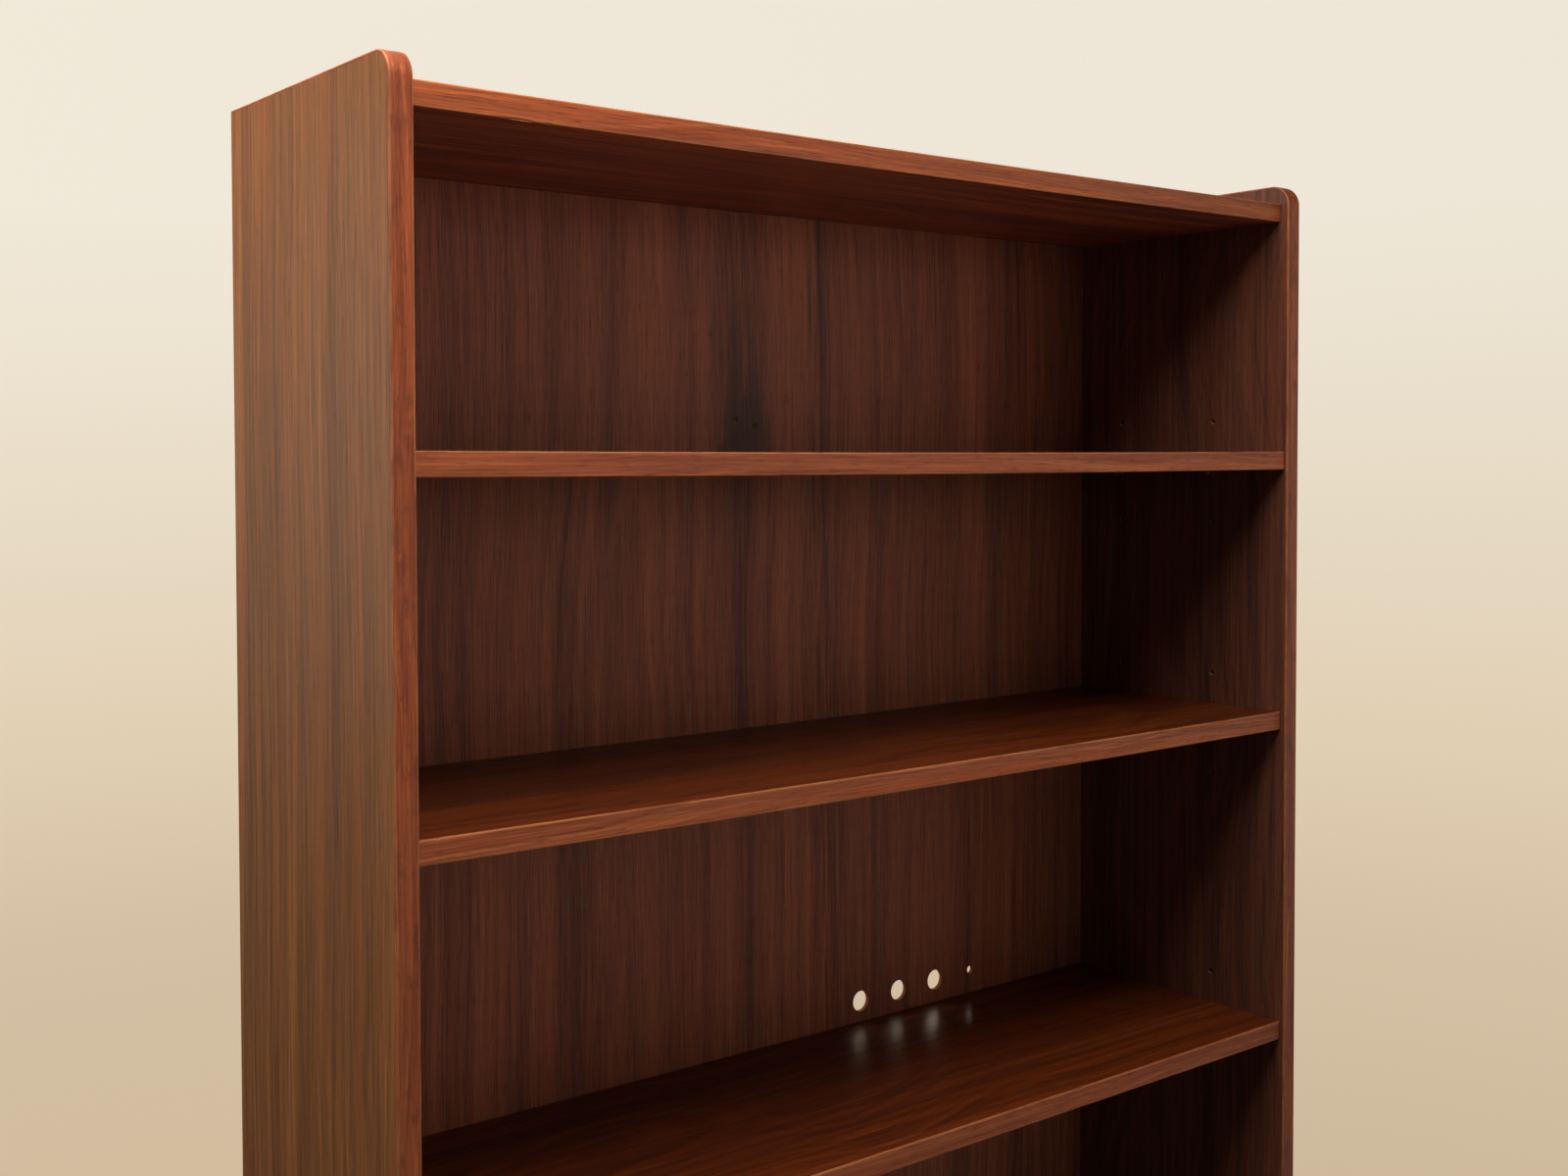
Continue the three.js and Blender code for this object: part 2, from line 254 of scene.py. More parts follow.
class Wood(Tree):
    """Lacquered wood with its grain along one axis.

    Growth rings round a slowly wandering pith give straight stripes at the sides and pointed
    arches where the pith comes near the face. Streaks, fibres and pores lie over them.

    across and along name the axes of the face, and shift moves the noise, so that no two woods
    look the same. ring is the width of a growth ring in millimetres. pith is its place across
    the face, its depth, how fast the depth grows along the grain, and how far it sways. The
    other values scale one feature each.
    """

    def __init__(self, name, across, along, shift, tones, ring=7.0, pith=(0, 30, 0.02, 60),
                 arch=1.0, cool=0.5, warm=0.5, streaks=1.0, pores=0.5, fine=1.0, lines=1.0):
        super().__init__(name)
        p = self.place()
        deep = ({"x", "y", "z"} - {across, along}).pop()
        u, v, w = p[across], p[along], p[deep]
        self.p, self.u, self.v, self.w = p, u, v, w
        flat = self.vector(u, v, w)
        s = Vector(shift)

        wander = self.sub(self.noise(flat, (0.005, 0.0013, 0.006), 1.0, 0.5, s), 0.5)
        ripple = self.sub(self.noise(flat, (0.03, 0.006, 0.01), 2.0, 0.5, s * 1.7), 0.5)
        bent = self.total(u, self.mul(wander, 12.0), self.mul(ripple, 1.6))

        middle, distance, taper, sway = pith
        drift = self.sub(self.noise(flat, (0, 0.0025, 0.008), 1.0, 0.5, s * 2.3), 0.5)
        close = self.sub(self.noise(flat, (0, 0.004, 0.008), 1.0, 0.5, s * 3.1), 0.5)
        side = self.sub(bent, self.total(middle, self.mul(drift, sway * 4.0)))
        above = self.total(distance, self.mul(v, taper), self.mul(close, sway))
        radius = self.math("SQRT", self.add(self.mul(side, side), self.mul(above, above)))
        rings = self.vector(radius, self.mul(v, 0.0015), w)
        ring_a = self.noise(rings, (1 / ring, 1, 0.01), 3.0, 0.55, s * 0.7)
        ring_b = self.noise(rings, (3.2 / ring, 1, 0.01), 2.0, 0.6, s * 1.3)

        line = self.vector(bent, v, w)
        broad = self.noise(line, (0.03, 0.0012, 0.01), 1.5, 0.5, s * 0.9)
        streak = self.noise(line, (0.22 * lines, 0.0035, 0.02), 3.0, 0.6, s * 1.1)
        thread = self.noise(line, (0.9, 0.012, 0.2), 3.0, 0.65, s * 1.9)
        fibre = self.noise(line, (2.4, 0.035, 1.0), 3.0, 0.7, s * 2.7)
        self.fibre = fibre

        tone = self.total(
            self.mul(self.sub(broad, 0.5), 0.9),
            self.mul(self.sub(ring_a, 0.5), arch),
            self.mul(self.sub(ring_b, 0.5), 0.6 * arch),
            self.mul(self.sub(streak, 0.5), 1.1 * streaks),
            self.mul(self.sub(thread, 0.5), 1.1 * fine),
            self.mul(self.sub(fibre, 0.5), 0.8 * fine),
            0.5,
        )
        stops = ((0.05, "dark"), (0.36, "low"), (0.62, "high"), (0.95, "light"))
        colour = self.ramp(tone, *((at, tones[key]) for at, key in stops))
        hue = self.noise(line, (0.14 * lines, 0.0022, 0.02), 2.0, 0.55, s * 4.3)
        colour = self.mix(self.grade(hue, 0.5, 0.68, 0.0, cool), colour, tones["cool"])
        colour = self.mix(self.grade(hue, 0.48, 0.3, 0.0, warm), colour, tones["warm"])

        dash = self.noise(line, (1.5, 0.05, 1.5), 1.0, 0.5, s * 5.9)
        self.pore = self.mul(self.grade(dash, 0.60, 0.72), self.grade(ring_b, 0.3, 0.6, 0.4, 1.0))
        self.colour = self.mix(self.mul(self.pore, pores), colour, tones["pore"])
        self.rough = self.add(self.mul(self.sub(fibre, 0.5), 0.25), self.mul(self.pore, 0.2))

    def patch(self, mask, colour):
        """Puts a colour over the wood where the mask is 1."""
        self.colour = self.mix(mask, self.colour, colour)

    def done(self, roughness, coat=0.0, coat_roughness=0.1, relief=0.35, specular=0.5):
        """The material, with this lacquer."""
        self.set(
            Base_Color=self.colour,
            Roughness=self.math("ADD", self.rough, roughness, clamp=True),
            Coat_Weight=coat,
            Coat_Roughness=coat_roughness,
            Specular_IOR_Level=specular,
        )
        height = self.sub(self.mul(self.fibre, 0.6), self.mul(self.pore, 0.8))
        self.bump(height, 0.12 * MM, relief)
        return self.material


def rub_and_highlight(wood, amount, colour):
    """Lightens the arrises: the finish there is worn pale by hands and cloths, and a highlight is
    painted along them.
    """
    patchy = wood.noise(wood.vector(wood.u, wood.v, wood.w), (0.06, 0.03, 0.06), 3.0, 0.6, (3, 5, 7))
    rubbed_and_highlit = wood.grade(patchy, 0.35, 0.6, 0.3 * amount, amount)
    wood.patch(wood.mul(wood.attribute("wear_and_highlight"), rubbed_and_highlit), colour)


# Display colours of each wood: four steps of tone, two hues that drift over them, and the pores.
WALNUT_OUTER = dict(
    dark=srgb(106, 67, 36), low=srgb(137, 86, 46), high=srgb(162, 99, 48),
    light=srgb(188, 120, 60), cool=srgb(110, 82, 50), warm=srgb(178, 92, 36), pore=srgb(68, 40, 20),
)
WALNUT_INNER = dict(
    dark=srgb(102, 58, 47), low=srgb(144, 80, 57), high=srgb(171, 94, 62),
    light=srgb(198, 111, 71), cool=srgb(102, 74, 69), warm=srgb(188, 84, 44), pore=srgb(50, 29, 24),
)
WALNUT_SIDE = dict(
    dark=srgb(72, 45, 39), low=srgb(99, 60, 46), high=srgb(119, 71, 52),
    light=srgb(138, 82, 58), cool=srgb(80, 61, 56), warm=srgb(130, 68, 42), pore=srgb(38, 25, 22),
)
WALNUT_SHELF = dict(
    dark=srgb(80, 34, 16), low=srgb(107, 46, 19), high=srgb(126, 57, 23),
    light=srgb(146, 72, 30), cool=srgb(74, 41, 26), warm=srgb(136, 58, 18), pore=srgb(44, 20, 12),
)
WALNUT_BAND = dict(
    dark=srgb(118, 53, 32), low=srgb(156, 77, 45), high=srgb(182, 94, 53),
    light=srgb(210, 120, 70), cool=srgb(130, 73, 50), warm=srgb(194, 88, 40), pore=srgb(70, 33, 22),
)
BACKING_VENEER = dict(
    dark=srgb(128, 96, 70), low=srgb(152, 117, 86), high=srgb(168, 132, 98),
    light=srgb(184, 148, 112), cool=srgb(140, 116, 92), warm=srgb(172, 122, 82), pore=srgb(92, 66, 46),
)
BEECH = dict(
    dark=srgb(170, 130, 88), low=srgb(194, 156, 110), high=srgb(208, 172, 126),
    light=srgb(220, 188, 144), cool=srgb(184, 152, 116), warm=srgb(206, 158, 104),
    pore=srgb(140, 100, 64),
)


def paler(palette, factor):
    """A palette with every colour made this many times as bright."""
    return {name: tuple(channel * factor for channel in colour) for name, colour in palette.items()}


def side_outer():
    wood = Wood("side_outer", "y", "z", (11.3, 4.1, 7.7), WALNUT_OUTER, ring=5.0,
                pith=(-90, -52, 0.034, 8), arch=1.15, cool=0.4, warm=0.5, streaks=0.55, pores=0.35,
                fine=1.3, lines=1.9)
    return wood.done(0.5, coat=0.04, coat_roughness=0.3, specular=0.25)


def side_inner():
    wood = Wood("side_inner", "y", "z", (3.9, 17.2, 5.3), paler(WALNUT_SIDE, 1.1), ring=8.0,
                pith=(30, 60, 0.02, 40), cool=0.35, warm=0.4, pores=0.5, lines=1.6)
    return wood.done(0.42, coat=0.1, coat_roughness=0.25, specular=0.35)


def shelf_faces():
    wood = Wood("shelf_faces", "y", "x", (7.1, 2.6, 13.9), WALNUT_SHELF, ring=9.0,
                pith=(-20, 70, 0.03, 60), cool=0.45, warm=0.5, pores=0.5)
    return wood.done(0.38, coat=0.32, coat_roughness=0.2, specular=0.1)


def top_outer():
    wood = Wood("top_outer", "y", "x", (21.4, 8.8, 2.2), WALNUT_OUTER, ring=8.0,
                pith=(10, 50, 0.03, 50), cool=0.5, warm=0.5, pores=0.4)
    return wood.done(0.5, coat=0.04, coat_roughness=0.3, specular=0.25)


def top_under():
    wood = Wood("top_under", "y", "x", (5.4, 12.8, 9.2), paler(WALNUT_INNER, 1.45), ring=8.0,
                pith=(10, 50, 0.03, 50), cool=0.85, warm=0.2, pores=0.5)
    return wood.done(0.42, coat=0.1, coat_roughness=0.25, specular=0.35)


def band_upright():
    wood = Wood("band_upright", "x", "z", (9.5, 3.3, 1.4), paler(WALNUT_BAND, 1.08), ring=5.0,
                pith=(0, 80, 0.02, 20), cool=0.5, warm=0.4, streaks=0.7, pores=0.5)
    blotch = wood.noise(wood.vector(wood.u, wood.v, wood.w), (0.09, 0.035, 0.05), 3.0, 0.65, (2, 9, 4))
    wood.patch(wood.grade(blotch, 0.52, 0.66, 0.0, 0.55), srgb(118, 60, 44))
    # Pale cream on the arrises: worn finish and a painted highlight.
    rub_and_highlight(wood, 0.5, srgb(206, 140, 92))
    return wood.done(0.42, coat=0.06, coat_roughness=0.2, specular=0.2)


def band_level():
    wood = Wood("band_level", "z", "x", (4.4, 6.1, 8.3), paler(WALNUT_BAND, 1.08), ring=5.0,
                pith=(0, 90, 0.015, 20), cool=0.4, warm=0.5, streaks=0.7, pores=0.65)
    # Pale cream on the arrises: worn finish and a painted highlight.
    rub_and_highlight(wood, 0.5, srgb(210, 138, 86))
    return wood.done(0.42, coat=0.06, coat_roughness=0.2, specular=0.2)


def plinth_face():
    wood = Wood("plinth_face", "z", "x", (14.4, 1.1, 6.3), WALNUT_INNER, ring=7.0,
                pith=(0, 60, 0.02, 30), cool=0.4, warm=0.5)
    return wood.done(0.45, coat=0.15, coat_roughness=0.3)


# Stain above the first shelf, flame by flame: middle along X, half the width, height, in mm.
FLAMES = ((-11.0, 16.0, 124.0), (13.0, 22.0, 112.0), (2.0, 34.0, 66.0))
# Leaning dark mineral streaks: middle along X at MINERAL_HEIGHT and half the width, in mm.
MINERAL_STREAKS = ((84.0, 2.2), (97.0, 3.4))
MINERAL_HEIGHT = 1700.0
MINERAL_LEAN = -0.03


def back_face(shelf_top, nail_holes):
    """Front of the back panel. shelf_top is the height of the first shelf."""
    wood = Wood("back_face", "x", "z", (1.7, 9.6, 3.8), WALNUT_INNER, ring=9.0,
                pith=(-130, 14, 0.03, 12), arch=0.9, cool=0.2, warm=0.4, streaks=0.4, pores=0.55,
                fine=1.25, lines=1.9)
    # A dark stain with ragged, flame-like peaks round the old nail holes.
    rise = wood.sub(wood.p["z"], shelf_top / MM)
    ragged = wood.noise(wood.vector(wood.u, wood.v, 0), (0.11, 0.02, 1), 3.0, 0.6, (5, 5, 5))
    stain = None
    for centre, half, height in FLAMES:
        sideways = wood.math("ABSOLUTE", wood.sub(wood.p["x"], centre))
        reach = wood.sub(1.0, wood.mul(rise, 1 / height))
        room = wood.sub(wood.mul(reach, half), sideways)
        one = wood.grade(wood.add(room, wood.mul(wood.sub(ragged, 0.5), 26.0)), -5.0, 9.0)
        stain = one if stain is None else wood.math("MAXIMUM", stain, one)
    soft_foot = wood.grade(rise, -30.0, 8.0)
    wood.patch(wood.mul(wood.mul(stain, soft_foot), 0.55), srgb(50, 46, 42))
    for centre, half in MINERAL_STREAKS:
        lean = wood.mul(wood.sub(wood.p["z"], MINERAL_HEIGHT), MINERAL_LEAN)
        offset = wood.math("ABSOLUTE", wood.sub(wood.sub(wood.p["x"], centre), lean))
        faded = wood.noise(wood.vector(wood.u, wood.v, 0), (0.3, 0.01, 1), 2.0, 0.5, (centre, 0, 0))
        strength = wood.grade(faded, 0.35, 0.6, 0, 0.6)
        wood.patch(wood.mul(wood.grade(offset, half * 1.8, 0.0), strength), srgb(60, 42, 40))
    # Bruised, darkened veneer round the old nail holes.
    for centre, radius in nail_holes:
        across = wood.mul(wood.sub(wood.p["x"], centre.x / MM), 0.7)
        up = wood.sub(wood.p["z"], centre.z / MM)
        far = wood.math("SQRT", wood.add(wood.mul(across, across), wood.mul(up, up)))
        wood.patch(wood.grade(far, radius / MM * 1.8, radius / MM), srgb(20, 14, 12))
    return wood.done(0.5, coat=0.04, coat_roughness=0.3, relief=0.5, specular=0.2)


def back_rear():
    """Rear of the back panel, a plain backing veneer."""
    wood = Wood("back_rear", "x", "z", (8.8, 2.9, 6.6), BACKING_VENEER, ring=12.0,
                pith=(-80, 50, 0.03, 40), arch=0.8, cool=0.4, warm=0.3, streaks=0.8)
    return wood.done(0.7, relief=0.6, specular=0.3)


def core_edge():
    """Sawn edge of the core under the veneer: pressed chips."""
    tree = Tree("core_edge")
    p = tree.place()
    point = tree.vector(p["x"], p["y"], p["z"])
    chip = tree.noise(point, (0.8, 0.8, 0.8), 4.0, 0.7)
    fleck = tree.noise(point, (2.6, 2.6, 2.6), 2.0, 0.6, (4, 4, 4))
    colour = tree.ramp(chip, (0.3, srgb(112, 82, 56)), (0.5, srgb(158, 122, 84)),
                       (0.7, srgb(192, 158, 116)))
    colour = tree.mix(tree.grade(fleck, 0.6, 0.75, 0.0, 0.6), colour, srgb(84, 56, 38))
    tree.set(Base_Color=colour, Roughness=tree.grade(chip, 0.3, 0.7, 0.9, 0.7), Specular_IOR_Level=0.3)
    tree.bump(chip, 0.4 * MM, 0.5)
    return tree.material


def bored_ply():
    """Raw plies inside the cable holes."""
    tree = Tree("bored_ply")
    p = tree.place()
    point = tree.vector(p["x"], p["y"], p["z"])
    fuzz = tree.noise(point, (1.2, 2.2, 1.2), 3.0, 0.7)
    colour = tree.ramp(fuzz, (0.3, srgb(126, 72, 36)), (0.55, srgb(186, 112, 56)),
                       (0.75, srgb(214, 146, 84)))
    rough = tree.grade(fuzz, 0.3, 0.7, 0.95, 0.75)
    tree.set(Base_Color=colour, Roughness=rough, Specular_IOR_Level=0.25)
    tree.bump(fuzz, 0.3 * MM, 0.5)
    return tree.material


def metal(name, pale, dull, spots, roughness, turned_along):
    """Worn metal with turning marks round the given axis and dull spots."""
    tree = Tree(name)
    p = tree.place()
    point = tree.vector(p["x"], p["y"], p["z"])
    scale = {axis: 0.4 for axis in "xyz"}
    scale[turned_along] = 9.0
    marks = tree.noise(point, tuple(scale.values()), 2.0, 0.6)
    tarnish = tree.noise(point, (0.5, 0.5, 0.5), 4.0, 0.65, (6, 1, 3))
    colour = tree.mix(tree.grade(marks, 0.35, 0.65), dull, pale)
    colour = tree.mix(tree.grade(tarnish, 0.52, 0.68, 0.0, 0.75), colour, spots)
    worn = tree.grade(tarnish, 0.45, 0.7, roughness, roughness + 0.28)
    rough = tree.add(worn, tree.mul(marks, 0.06))
    tree.set(Base_Color=colour, Metallic=1.0, Roughness=rough)
    tree.bump(tree.add(marks, tree.mul(tarnish, 0.5)), 0.05 * MM, 0.4)
    return tree.material


def nylon():
    """Scuffed dark plastic of the glides."""
    tree = Tree("glide_nylon")
    p = tree.place()
    point = tree.vector(p["x"], p["y"], p["z"])
    scuff = tree.noise(point, (0.7, 0.7, 0.3), 4.0, 0.7)
    grain = tree.noise(point, (4.0, 4.0, 4.0), 2.0, 0.5, (2, 2, 2))
    colour = tree.ramp(scuff, (0.35, srgb(52, 44, 38)), (0.6, srgb(66, 57, 49)),
                       (0.75, srgb(104, 94, 84)))
    tree.set(Base_Color=colour, Roughness=tree.grade(scuff, 0.35, 0.7, 0.42, 0.7))
    tree.bump(grain, 0.05 * MM, 0.5)
    return tree.material


def beech():
    wood = Wood("dowel_beech", "y", "x", (2.2, 7.3, 5.1), BEECH, ring=2.5,
                pith=(0, 12, 0.02, 4), cool=0.3, warm=0.3)
    return wood.done(0.65, relief=0.4, specular=0.3)


# ---------------------------------------------------------------- mesh helpers


def loft(rings, strip_caps=True):
    """A closed mesh through rings of (point, wear). Quads join the rings and close the ends.

    A ring runs up the front of a section and down its rear, with as many points on each, so
    that strips from front to rear close an end.
    """
    bm = bmesh.new()
    # Vertex layer for the rounded front arrises of the bands, where a worn, paler finish and a painted
    # highlight go.
    wear_and_highlight = bm.verts.layers.float.new("wear_and_highlight")
    rows = []
    for ring in rings:
        row = [bm.verts.new(point) for point, _ in ring]
        for vert, (_, amount) in zip(row, ring):
            vert[wear_and_highlight] = amount
        rows.append(row)
    count = len(rows[0])
    for a, b in zip(rows, rows[1:]):
        for i in range(count):
            j = (i + 1) % count
            bm.faces.new((a[i], a[j], b[j], b[i]))
    for row in (rows[0], rows[-1]):
        if strip_caps:
            half = count // 2
            bm.faces.new((*row[:3], *row[-3:]))
            for i in range(2, half - 3):
                bm.faces.new((row[i], row[i + 1], row[count - 2 - i], row[count - 1 - i]))
            bm.faces.new(row[half - 3:half + 3])
        else:
            bm.faces.new(row)
    bmesh.ops.recalc_face_normals(bm, faces=bm.faces)
    return bm


def arc(steps=ARC_STEPS):
    """(outward, onward) parts of a quarter round, each from 0 to 1."""
    for k in range(steps + 1):
        a = math.pi / 2 * k / steps
        yield math.sin(a), 1 - math.cos(a)


def column(edge, inward, low, high, radius, wear_and_highlight):
    """One side of a section, low to high: (across, up, wear), with both its corners rounded."""
    foot = [(edge + inward * (radius + SUPPORT), low, 0.0)]
    for out, up in arc():
        foot.append((edge + inward * radius * (1 - out), low + radius * up, wear_and_highlight))
    foot.append((edge, low + radius + SUPPORT, 0.0))
    head = [(across, low + high - up, amount) for across, up, amount in reversed(foot)]
    return foot + head


def section(front, rear, low, high, front_radius, rear_radius, wear_and_highlight=0.0):
    """Ring of (across, up, wear) round a rectangle, up its front and down its rear."""
    inward = 1 if rear > front else -1
    up = column(front, inward, low, high, front_radius, wear_and_highlight)
    down = column(rear, -inward, low, high, rear_radius, 0.0)
    return up + down[::-1]


def end_stations(start, stop, radius, between):
    """(place, inset) along a length whose two ends are rounded."""
    stations = [(start + radius * up, radius * (1 - out)) for out, up in arc()]
    inner = [start + radius + (stop - start - 2 * radius) * k / between for k in range(1, between)]
    ends = [(stop - (place - start), inset) for place, inset in reversed(stations)]
    return stations + [(place, 0.0) for place in inner] + ends


def subtract(bm, cutters):
    """bm less each of the cutters, by exact booleans."""
    for cutter in cutters:
        pair = []
        for source in (bm, cutter):
            mesh = bpy.data.meshes.new("cutting")
            source.to_mesh(mesh)
            source.free()
            pair.append(bpy.data.objects.new("cutting", mesh))
            bpy.context.scene.collection.objects.link(pair[-1])
        change = pair[0].modifiers.new("cut", "BOOLEAN")
        change.object, change.operation, change.solver = pair[1], "DIFFERENCE", "EXACT"
        bpy.context.view_layer.update()
        result = pair[0].evaluated_get(bpy.context.evaluated_depsgraph_get()).to_mesh()
        bm = bmesh.new()
        bm.from_mesh(result)
        pair[0].evaluated_get(bpy.context.evaluated_depsgraph_get()).to_mesh_clear()
        for part in pair:
            mesh = part.data
            bpy.data.objects.remove(part)
            bpy.data.meshes.remove(mesh)
    return bm


def lathe(profile, axis, centre, sides, flip=1):
    """A closed turned solid: profile of (along, radius) about an axis through centre."""
    rings = []
    first, second = {"x": ("y", "z"), "y": ("x", "z"), "z": ("x", "y")}[axis]
    for along, radius in profile:
        ring = []
        for k in range(sides):
            a = 2 * math.pi * k / sides
            offset = {axis: along * flip, first: radius * math.cos(a), second: radius * math.sin(a)}
            ring.append((centre + Vector([offset[c] for c in "xyz"]), 0.0))
        rings.append(ring)
    return loft(rings, strip_caps=False)


def joined(parts):
    """Several meshes as one."""
    whole = bmesh.new()
    for part in parts:
        mesh = bpy.data.meshes.new("joining")
        part.to_mesh(mesh)
        part.free()
        whole.from_mesh(mesh)
        bpy.data.meshes.remove(mesh)
    return whole


def box_cutter(low, high):
    bm = bmesh.new()
    place = Matrix.Translation((high + low) / 2) @ Matrix.Diagonal((*(high - low), 1))
    bmesh.ops.create_cube(bm, size=1.0, matrix=place)
    return bm


def make(node, bm, materials, body, paint=None):
    """The finished piece that stands for a CAD node. paint gives a face's material number."""
    if paint:
        for face in bm.faces:
            face.material_index = paint(face.calc_center_median(), face.normal)
    mesh = bpy.data.meshes.new(f"{node}_look")
    bm.to_mesh(mesh)
    bm.free()
    for material in materials:
        mesh.materials.append(material)
    mesh.polygons.foreach_set("use_smooth", [True] * len(mesh.polygons))
    mesh.set_sharp_from_angle(angle=SMOOTH_ANGLE)
    piece = bpy.data.objects.new(f"{node}_look", mesh)
    bpy.context.scene.collection.objects.link(piece)
    shading = piece.modifiers.new("shading", "WEIGHTED_NORMAL")
    shading.keep_sharp = True
    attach(piece, body)
    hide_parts(node)


# ---------------------------------------------------------------- places from the frame

case_low, case_high = cad_box
side_low, side_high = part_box("side_left")
BAND = side_low.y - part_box("side_edge_band_left")[0].y      # thickness of the edge bands
panel_low, panel_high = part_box("back_panel")
inner_x = -side_high.x
nodes = sorted(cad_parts)
pins = [n for n in nodes if "_pin_" in n]
dowels = [n for n in nodes if n.startswith("dowel_")]
nails = [n for n in nodes if n.startswith("back_nail_")]
glides = [n for n in nodes if n.startswith("glide_")]


def middle(node):
    low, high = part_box(node)
    return (low + high) / 2


def round_cutter(node, play):
    """The hole for a dowel that lies along X."""
    low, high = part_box(node)
    half, radius = (high.x - low.x) / 2 + play, (high.z - low.z) / 2 + play
    return lathe([(-half, radius), (half, radius)], "x", middle(node), HOLE_SIDES)


def nail_cutter(node):
    """The hole for a panel nail that lies along Y, with a recess for its head."""
    low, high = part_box(node)
    head = (high.x - low.x) / 2 + PLAY
    shank = head * 0.42
    tip, neck, seat = low.y - high.y - 0.2 * MM, -1.2 * MM, -1.1 * MM
    centre = Vector(((low.x + high.x) / 2, high.y, (low.z + high.z) / 2))
    return lathe([(tip, shank), (neck, shank), (seat, head), (MM, head)], "y", centre, HOLE_SIDES)


# ---------------------------------------------------------------- sides


def corner_points(inset):
    """(y, z) round the top front corner of a side, front to top, this far inside its outline."""
    centre_y, centre_z = case_low.y + CORNER_RADIUS, case_high.z - CORNER_RADIUS
    radius = CORNER_RADIUS - inset
    for k in range(CORNER_STEPS + 1):
        a = math.pi / 2 * k / CORNER_STEPS
        yield centre_y - radius * math.cos(a), centre_z + radius * math.sin(a)


def side_core(sign):
    """A side without its band: a plate with its rabbet and holes. sign is -1 for the left one."""
    outer, inner = sign * case_high.x, sign * inner_x
    step = -sign

    def ring(x, inset):
        points = [(side_low.y + inset, side_low.z + inset)]
        points += list(corner_points(BAND + inset))
        rear = side_high.y - inset
        points += [(rear, side_high.z - inset), (rear, side_low.z + inset)]
        return [(Vector((x, y, z)), 0.0) for y, z in points]

    edge = JOINT_ARRIS
    thickness = abs(outer - inner)
    places = [(0, edge), (edge, 0), (VENEER, 0), (thickness - VENEER, 0), (thickness - edge, 0),
              (thickness, edge)]
    plate = loft([ring(outer + step * at, inset) for at, inset in places], strip_caps=False)

    near, far = sorted((inner - step * RABBET_WIDTH, inner + step * MM))
    rabbet = box_cutter(Vector((near, panel_low.y, side_low.z - MM)),
                        Vector((far, side_high.y + MM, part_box("top_board")[1].z)))
    word = "left" if sign < 0 else "right"
    holes = [round_cutter(n, PLAY) for n in dowels if word in n]
    for pin in (n for n in pins if word in n):
        low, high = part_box(pin)
        radius = (high.z - low.z) / 2 + PLAY
        depth = max(abs(low.x), abs(high.x)) + MM
        for offset in (-HOLE_STEP, 0, HOLE_STEP):
            centre = Vector((0, (low.y + high.y) / 2, (low.z + high.z) / 2 + offset))
            profile = [(inner_x - MM, radius + HOLE_CHAMFER + MM), (inner_x + HOLE_CHAMFER, radius),
                       (depth, radius)]
            holes.append(lathe(profile, "x", centre, HOLE_SIDES, sign))
    return subtract(plate, [rabbet, joined(holes + [nail_cutter(n) for n in nails if word in n])])


def side_paint(sign):
    """A side's material numbers: 0 outside, 1 inside, 2 where the core shows."""
    def paint(centre, normal):
        depth = abs(centre.x)
        if normal.x * sign > 0.9 and depth > case_high.x - VENEER:
            return 0
        if normal.x * sign < -0.9 and depth < inner_x + VENEER:
            return 1
        if depth > case_high.x - VENEER and abs(normal.x) < 0.9:
            return 0
        if depth < inner_x + VENEER and abs(normal.x) < 0.9 and centre.y < panel_low.y - MM:
            return 1
        return 2
    return paint


def side_band(sign):
    """The band on a side's front and top edges, bent round the corner."""
    low_x, high_x = sorted((sign * case_high.x, sign * inner_x))
    centre = Vector((0, case_low.y + CORNER_RADIUS, case_high.z - CORNER_RADIUS))
    stations = [(Vector((0, case_low.y + CORNER_RADIUS, side_low.z + at)), Vector((0, -1, 0)), inset)
                for at, inset in ((0, RAW_ARRIS), (RAW_ARRIS, 0))]
    straight = centre.z - side_low.z
    stations += [(Vector((0, centre.y, side_low.z + straight * k / 12)), Vector((0, -1, 0)), 0)
                 for k in range(1, 12)]
    for k in range(CORNER_STEPS + 1):
        a = math.pi / 2 * k / CORNER_STEPS
        stations.append((centre, Vector((0, -math.cos(a), math.sin(a))), 0))
    run = case_high.y - centre.y
    stations += [(Vector((0, centre.y + run * k / 4, centre.z)), Vector((0, 0, 1)), 0)
                 for k in range(1, 4)]
    stations += [(Vector((0, case_high.y - at, centre.z)), Vector((0, 0, 1)), inset)
                 for at, inset in ((RAW_ARRIS, 0), (0, RAW_ARRIS))]
    rings = []
    for base, outward, inset in stations:
        shape = section(CORNER_RADIUS - inset, CORNER_RADIUS - BAND + inset, low_x + inset,
                        high_x - inset, BAND_ARRIS, JOINT_ARRIS, 1.0)
        rings.append([(base + outward * out + Vector((x, 0, 0)), wear_and_highlight) for out, x, wear_and_highlight in shape])
    return loft(rings)


core = core_edge()
outer_faces, inner_faces, upright = side_outer(), side_inner(), band_upright()
for word, sign in SIDES.items():
    make(f"side_{word}", side_core(sign), [outer_faces, inner_faces, core], "case",
         side_paint(sign))
    make(f"side_edge_band_{word}", side_band(sign), [upright], "case")

# ---------------------------------------------------------------- boards


def sagging(x, low_x, high_x, sag):
    """How far a board hangs down at x, as a value below zero."""
    half = (high_x - low_x) / 2
    return -sag * (1 - ((x - (low_x + high_x) / 2) / half) ** 2)


def board_core(node):
    """The core of a board: veneered faces, sawn ends and rear, a slight sag."""
    low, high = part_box(node)
    sag = SAG[node]
    rings = []
    for x, inset in end_stations(low.x, high.x, RAW_ARRIS, SPAN_STEPS):
        shape = section(low.y + inset, high.y - inset, low.z + inset, high.z - inset, JOINT_ARRIS,
                        RAW_ARRIS)
        drop = sagging(x, low.x, high.x, sag)
        rings.append([(Vector((x, y, z + drop)), wear_and_highlight) for y, z, wear_and_highlight in shape])
    return loft(rings)


